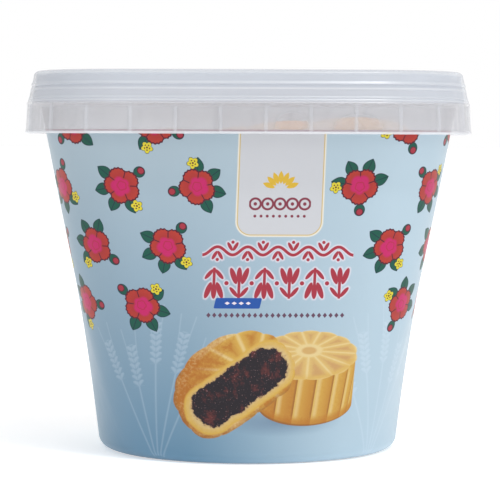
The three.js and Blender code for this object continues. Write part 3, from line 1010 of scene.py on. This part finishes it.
def bakedFinish():
    f = Finish("bakedDough")
    place = f.place()
    brown = f.noise(place, 90.0, 4.0, 0.6)
    dough = f.between(biscuit["dough"], biscuit["browned"], (brown * 1.6 - 0.3) & 1)
    bump = f.node("ShaderNodeBump", None, {**biscuit["bump"], "Height": f.noise(place, 800.0, 3.0)})
    glow, strength = biscuit["glow"]
    f.set(Base_Color=dough, Roughness=0.8, Normal=bump.outputs[0])
    f.set(Emission_Color=glow, Emission_Strength=strength)
    return f.material


baked = bakedFinish()
topBiscuits = biscuitPile()
biscuitCore = turnedPiece("biscuitCore", coreProfile(), tubOutline)
for piece in (topBiscuits, biscuitCore):
    piece.data.materials.append(baked)
print("biscuits made:", len(topBiscuits.data.polygons), "faces")


# what each piece rides on
for piece, material in ((lidPiece, "milky_plastic"), (gripRibs, "milky_plastic"), (tubPiece, "printed_wall"),
        (topBiscuits, "baked_dough"), (biscuitCore, "baked_dough")):
    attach(piece, "root")
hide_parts("lid")
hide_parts("tub")
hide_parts("biscuits")
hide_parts("biscuits")


studio = {
    "floorHalf": 30.0, "floor": tint(252, 252, 252), "floorGlow": 0.4,
    "ambient": (0.6, 0.8),  # from the left and from the right
    "key": {"strength": 0.4, "spread": 50, "from": (0.8, -0.5, 0.7)},
    # area lights: watts, size and middle
    "lamps": {
        "strip": (2.2, (0.5, 0.05), (0.28, -0.55, 0.98)),
        "spark": (1.5, (0.13, 0.06), (0.2, -0.55, 0.98)),
        "window": (0.45, (0.22, 0.2), (0.284, -0.912, 0.517)),
    },
    "lampAim": (0.04, -0.08, 0.13),
}


def makeFloor():
    half = studio["floorHalf"]
    corners = [(-half, -half, 0), (half, -half, 0), (half, half, 0), (-half, half, 0)]
    mesh = bpy.data.meshes.new("floor")
    mesh.from_pydata(corners, [], [(0, 1, 2, 3)])
    f = Finish("paleFloor")
    f.set(Base_Color=studio["floor"], Roughness=0.9, Specular_IOR_Level=0.1)
    f.set(Emission_Color=studio["floor"], Emission_Strength=studio["floorGlow"])
    mesh.materials.append(f.material)
    addObject("floor", mesh)


def makeWorld():
    # white where the camera sees it, dimmer where it lights the piece
    world = bpy.data.worlds.new("studio")
    scene.world = world
    world.use_nodes = True
    tree = world.node_tree
    seen = addNode(tree, "ShaderNodeLightPath").outputs["Is Camera Ray"]
    way = addNode(tree, "ShaderNodeTexCoord").outputs["Generated"]
    across = addNode(tree, "ShaderNodeSeparateXYZ", None, {0: way}).outputs["X"]
    left, right = studio["ambient"]
    span = {"Value": across, "From Min": -1.0, "To Min": left, "To Max": right}
    lit = addNode(tree, "ShaderNodeMapRange", None, span).outputs[0]
    chosen = {"Value": seen, "To Min": lit, "To Max": 1.0}
    strength = addNode(tree, "ShaderNodeMapRange", None, chosen).outputs[0]
    back = tree.nodes["Background"]
    plug(tree, back.inputs["Color"], (1, 1, 1, 1))
    plug(tree, back.inputs["Strength"], strength)


def makeLamp(name, kind, power, towards):
    light = bpy.data.lights.new(name, kind)
    light.energy = power
    lamp = addObject(name, light)
    lamp.rotation_euler = Vector(towards).to_track_quat("Z", "Y").to_euler()
    return lamp


def makeLight():
    key = makeLamp("key", "SUN", studio["key"]["strength"], studio["key"]["from"])
    key.data.angle = radians(studio["key"]["spread"])
    for name, (power, size, at) in studio["lamps"].items():
        lamp = makeLamp(name, "AREA", power, Vector(at) - Vector(studio["lampAim"]))
        lamp.location = at
        lamp.data.shape = "RECTANGLE"
        lamp.data.size, lamp.data.size_y = size


view = {
    "at": (0, -0.8325, 0.1134),
    "pitch": 2.81,  # degrees down
    "roll": 0.22,
    "aim": 0.042,  # degrees to the right
    "lens": 161.6, "sensor": 36, "clip": (0.01, 100),
}


def makeCamera():
    data = bpy.data.cameras.new("camera")
    data.lens, data.sensor_width = view["lens"], view["sensor"]
    data.clip_start, data.clip_end = view["clip"]
    camera = addObject("camera", data)
    camera.location = view["at"]
    turns = (90 - view["pitch"], -view["roll"], -view["aim"])
    camera.rotation_euler = [radians(turn) for turn in turns]
    scene.camera = camera


makeFloor()
makeWorld()
makeLight()
makeCamera()
scene.view_settings.view_transform = "Standard"
print("floor, light and camera made")
